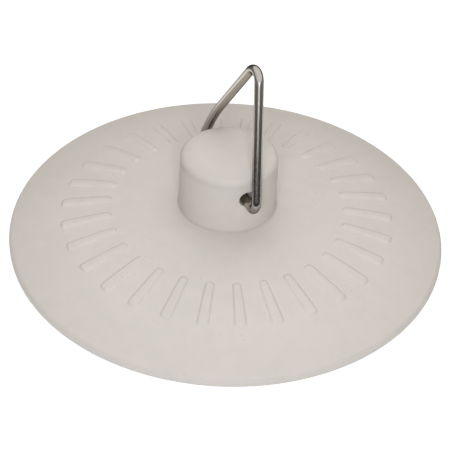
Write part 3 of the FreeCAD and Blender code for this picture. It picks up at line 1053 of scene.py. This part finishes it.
@dataclass
class WireBail:
    """The bent wire handle: two pins in the cross hole, two legs and a tight bend at the top."""

    RUN = "straight_run"

    wire_radius: float = 1.146 * MM
    end_round: float = 0.35 * MM
    pin_rise: float = 17.55 * MM
    pin_inner_end: float = 5.0 * MM
    elbow_span: float = 17.2 * MM
    elbow_bend: float = 1.7 * MM
    apex_rise: float = 32.2 * MM
    apex_bend: float = 3.1 * MM
    bow_span: float = 14.156 * MM
    bow_rise: float = 9.016 * MM
    bow_bend: float = 30.0 * MM
    azimuth: float = math.radians(24.0)
    lean: float = math.radians(11.8)
    step: float = 0.9 * MM
    bend_step: float = math.radians(5.0)
    sides: int = 32

    def axes(self) -> tuple[np.ndarray, np.ndarray, np.ndarray]:
        """Work out the bail's own directions.

        Returns:
            Along the pins, up the bail and square to it.
        """
        along = Vector((math.sin(self.azimuth), -math.cos(self.azimuth), 0.0))
        level = Vector((math.cos(self.azimuth), math.sin(self.azimuth), 0.0))
        up = level * math.sin(self.lean) + UP * math.cos(self.lean)
        return np.array(along), np.array(up), np.array(along.cross(up))

    def middle_line(self) -> tuple[np.ndarray, np.ndarray]:
        """Follow the wire's middle from end to end, in the plane of the bail.

        Returns:
            Its points and its headings.
        """
        corners = (
            ((self.elbow_span, 0.0), self.elbow_bend),
            ((0.0, self.apex_rise), self.apex_bend),
            ((-self.bow_span, self.bow_rise), self.bow_bend),
            ((-self.elbow_span, 0.0), self.elbow_bend),
        )
        start = np.array((self.pin_inner_end, 0.0))
        end = np.array((-self.pin_inner_end, 0.0))
        spots = [start, *(np.array(corner) for corner, _ in corners), end]
        points, headings = [], []
        at = start
        for (_, radius), before, corner, after in zip(corners, spots, spots[1:], spots[2:]):
            back = unit(before - corner)
            ahead = unit(after - corner)
            half = math.acos(float(back @ ahead)) / 2
            inside = unit(back + ahead)
            middle = corner + inside * radius / math.sin(half)
            bend_start = corner + back * radius / math.tan(half)
            self.add_run(points, headings, at, bend_start)
            turn = math.pi - 2 * half
            steps = max(3, math.ceil(turn / self.bend_step))
            out = (bend_start - middle) / radius
            for angle in np.linspace(0.0, turn, steps + 1)[1:-1]:
                points.append(middle + radius * (math.cos(angle) * out - math.sin(angle) * back))
                headings.append(-math.cos(angle) * back - math.sin(angle) * out)
            at = corner + ahead * radius / math.tan(half)
        self.add_run(points, headings, at, end)
        return np.array(points), np.array(headings)

    def add_run(
        self,
        points: list[np.ndarray],
        headings: list[np.ndarray],
        start: np.ndarray,
        end: np.ndarray,
    ) -> None:
        """Add the points of one straight run.

        Args:
            points: The list that the points go into.
            headings: The list that their headings go into.
            start: The first point.
            end: The last point.
        """
        steps = max(1, math.ceil(np.linalg.norm(end - start) / self.step))
        for share in np.linspace(0.0, 1.0, steps + 1):
            points.append(start + share * (end - start))
            headings.append(unit(end - start))

    def build(self, finish: SteelFinish) -> bpy.types.Object:
        """Build and dress the wire.

        Args:
            finish: The steel.

        Returns:
            The wire as one closed mesh.
        """
        points, headings = self.middle_line()
        runs = np.concatenate([[0.0], np.cumsum(np.linalg.norm(np.diff(points, axis=0), axis=1))])
        radii = np.full(len(points), self.wire_radius)
        rings = list(zip(points, headings, radii, runs))
        rings = [*self.rounded_end(rings[0], 1), *rings[1:-1], *reversed(self.rounded_end(rings[-1], -1))]

        along, up, square = self.axes()
        frame = np.stack([along, up])
        base = np.array((0.0, 0.0, self.pin_rise))
        angles = round_angles(self.sides)
        surface = Surface()
        numbers, straight = [], []
        for spot, heading, radius, run in rings:
            aside = np.array((-heading[1], heading[0])) @ frame
            round_points = radius * (np.cos(angles)[:, None] * aside + np.sin(angles)[:, None] * square)
            numbers.append(surface.add(base + spot @ frame + round_points))
            straight += [(radius * math.cos(a), radius * math.sin(a), run) for a in angles]
        for lower, upper in zip(numbers, numbers[1:]):
            surface.bridge(lower, upper)
        for index, first in ((0, True), (-1, False)):
            spot, _, _, run = rings[index]
            surface.cap(numbers[index], base + spot @ frame, first)
            straight.append((0.0, 0.0, run))

        made = surface.to_object("bail_wire", finish.make(float(runs[-1])))
        attribute = made.data.attributes.new(self.RUN, "FLOAT_VECTOR", "POINT")
        attribute.data.foreach_set("vector", np.array(straight, np.float32).ravel())
        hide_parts(Node.BAIL.value)
        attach(made, Body.BAIL.value)
        return made

    def rounded_end(self, ring: WireRing, inwards: int) -> list[WireRing]:
        """Return the rings of one rounded end of the wire, from its face inwards.

        Args:
            ring: The end ring: point, heading, radius and run.
            inwards: 1 where the heading goes into the wire and -1 where it comes out.

        Returns:
            The rings.
        """
        point, heading, radius, run = ring
        rings = []
        for angle in np.radians((90.0, 67.5, 45.0, 22.5, 0.0)):
            back = self.end_round * (1.0 - math.sin(angle)) * inwards
            shrunk = radius - self.end_round * (1.0 - math.cos(angle))
            rings.append((point + back * heading, heading, shrunk, run + back))
        return rings


def looking(place: Vector, way: Vector) -> Matrix:
    """Return the placing of a lamp or a camera that looks along a direction."""
    return Matrix.Translation(place) @ way.to_track_quat("-Z", "Y").to_matrix().to_4x4()


@dataclass(frozen=True)
class Lamp:
    """A soft square lamp that faces the stopper."""

    name: str
    place: Way
    size: float
    power: float
    colour: Colour = (1.0, 1.0, 1.0)

    def hang(self) -> None:
        """Hang the lamp in the studio."""
        data = bpy.data.lights.new(self.name, "AREA")
        data.size = self.size
        data.energy = self.power
        data.color = self.colour
        lamp = put(self.name, data)
        lamp.visible_glossy = False
        place = Vector(self.place)
        lamp.matrix_world = looking(place, -place)


@dataclass(frozen=True)
class Glow:
    """A soft patch of light on the walls of the studio."""

    azimuth: float
    elevation: float
    edge: Span
    strength: float

    def way(self) -> Way:
        """Return the direction to the middle of the patch, with the azimuth from the front to the right."""
        level = math.cos(self.elevation)
        return level * math.sin(self.azimuth), -level * math.cos(self.azimuth), math.sin(self.elevation)


@dataclass
class Studio:
    """A white table in a dim room, soft light, and the photograph's camera."""

    distance: float = 300.0 * MM
    elevation: float = math.radians(39.77)
    roll: float = math.radians(2.574)
    aim: Way = (-0.29 * MM, 0.49 * MM, 0.59 * MM)
    lens: float = 93.26
    sensor: float = 36.0
    clip: Span = (0.01, 20.0)
    table_radius: float = 150.0 * MM
    table_sides: int = 96
    table_drop: float = 0.02 * MM
    table_albedo: float = 0.82
    table_glow: float = 0.5
    lamps: tuple[Lamp, ...] = (
        Lamp("front_right", (0.058, -0.415, 0.272), 0.06, 0.59, (0.95, 1.0, 1.10)),
        Lamp("front_left", (-0.062, -0.415, 0.272), 0.06, 0.52, (0.95, 1.0, 1.10)),
        Lamp("top", (0.0, 0.02, 0.24), 0.24, 0.155),
        Lamp("top_back", (0.0, 0.12, 0.34), 0.38, 0.30),
    )
    ambient: float = 0.16
    glows: tuple[Glow, ...] = (
        Glow(0.0, math.radians(15.0), (0.78, 0.95), 0.51),
        Glow(math.pi, math.radians(45.0), (0.83, 0.97), 0.90),
        Glow(math.radians(-85.0), math.radians(14.0), (0.78, 0.95), 0.24),
        Glow(math.radians(85.0), math.radians(14.0), (0.78, 0.95), 0.34),
    )
    wall_colour: Colour = (1.03, 1.0, 0.92)
    dusk: float = 0.06
    dusk_edge: Span = (0.378, 0.478)
    sky: float = 0.95
    window: Glow = Glow(0.0, 0.0, (0.74, 0.84), 1.6)
    window_sill: Span = (0.460, 0.470)
    window_head: Span = (0.535, 0.525)
    side_card: float = 0.26
    side_edge: Span = (0.50, 0.85)
    side_foot: Span = (-0.100, -0.055)
    side_slant: Way = (-0.03, 0.50, 0.866)

    def build(self) -> None:
        """Build the table, the light and the camera."""
        self.add_camera()
        self.add_table()
        for lamp in self.lamps:
            lamp.hang()
        self.add_world()

    def add_camera(self) -> None:
        """Stand the camera where the photograph was taken from."""
        data = bpy.data.cameras.new("photo_camera")
        data.lens = self.lens
        data.sensor_width = self.sensor
        data.clip_start, data.clip_end = self.clip
        camera = put("photo_camera", data)
        place = Vector((0.0, -math.cos(self.elevation), math.sin(self.elevation))) * self.distance
        level = looking(place, Vector(self.aim) - place)
        camera.matrix_world = level @ Matrix.Rotation(self.roll, 4, "Z")
        bpy.context.scene.camera = camera

    def add_table(self) -> None:
        """Lay the round white table top under the stopper."""
        material, graph = new_material("white_table")
        glow = graph.blend(self.seen(graph), (0.0, 0.0, 0.0), (self.table_glow,) * 3)
        inputs = {
            "Base Color": (self.table_albedo,) * 3 + (1.0,),
            "Roughness": 1.0,
            "Specular IOR Level": 0.0,
            "Emission Color": glow,
            "Emission Strength": 1.0,
        }
        graph.finish(inputs)
        surface = Surface()
        angles = round_angles(self.table_sides)
        ring = np.column_stack([np.cos(angles), np.sin(angles), np.zeros_like(angles)]) * self.table_radius
        ring[:, 2] = -self.table_drop
        surface.cap(surface.add(ring), (0.0, 0.0, -self.table_drop), False)
        surface.to_object("table_top", material)

    @staticmethod
    def seen(graph: Graph) -> Value:
        """Tell what the camera sees from what only lights the scene.

        Args:
            graph: The graph of a material or of the world.

        Returns:
            1 for what the camera sees by itself, in metal or through glass, and 0 for the rest.
        """
        path = graph.add("ShaderNodeLightPath").outputs
        seen = graph.number(path["Is Camera Ray"])
        return seen.most(graph.number(path["Is Glossy Ray"])).most(graph.number(path["Is Transmission Ray"]))

    def add_world(self) -> None:
        """Surround the table with soft light, a white background and the dim walls that metal mirrors."""
        world = bpy.data.worlds.new("studio")
        world.use_nodes = True
        bpy.context.scene.world = world
        graph = Graph(world.node_tree)
        way = graph.add("ShaderNodeTexCoord").outputs["Generated"]
        light = self.ambient
        for glow in self.glows:
            light = light + glow.strength * graph.dot(way, glow.way()).rises(*glow.edge)

        height = graph.dot(way, UP)
        wall = self.dusk + (self.sky - self.dusk) * height.rises(*self.dusk_edge)
        side = abs(graph.dot(way, (1.0, 0.0, 0.0))).rises(*self.side_edge)
        side = side * graph.dot(way, self.side_slant).rises(*self.side_foot)
        wall = wall.most(self.side_card * side)
        window = graph.dot(way, self.window.way()).rises(*self.window.edge)
        window = window * height.rises(*self.window_sill) * height.rises(*self.window_head)
        camera = graph.number(graph.add("ShaderNodeLightPath").outputs["Is Camera Ray"])
        wall = camera.most(wall + self.window.strength * window)

        seen = self.seen(graph)
        strength = seen * wall + (1.0 - seen) * light
        colour = graph.blend(seen, self.wall_colour, (1.0, 1.0, 1.0))
        background = graph.add("ShaderNodeBackground", None, {"Color": colour, "Strength": strength})
        graph.add("ShaderNodeOutputWorld", None, {"Surface": background.outputs[0]})


def main() -> None:
    """Build the pieces and the studio in order."""
    logging.basicConfig(level=logging.INFO, format="%(name)s: %(message)s")
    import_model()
    bpy.context.scene.view_settings.view_transform = "Standard"
    pieces = (RubberStopper().build(RubberFinish()), WireBail().build(SteelFinish()))
    for piece in pieces:
        LOG.info("%s: %d faces", piece.name, len(piece.data.polygons))
    Studio().build()


if __name__ == "__main__":
    main()
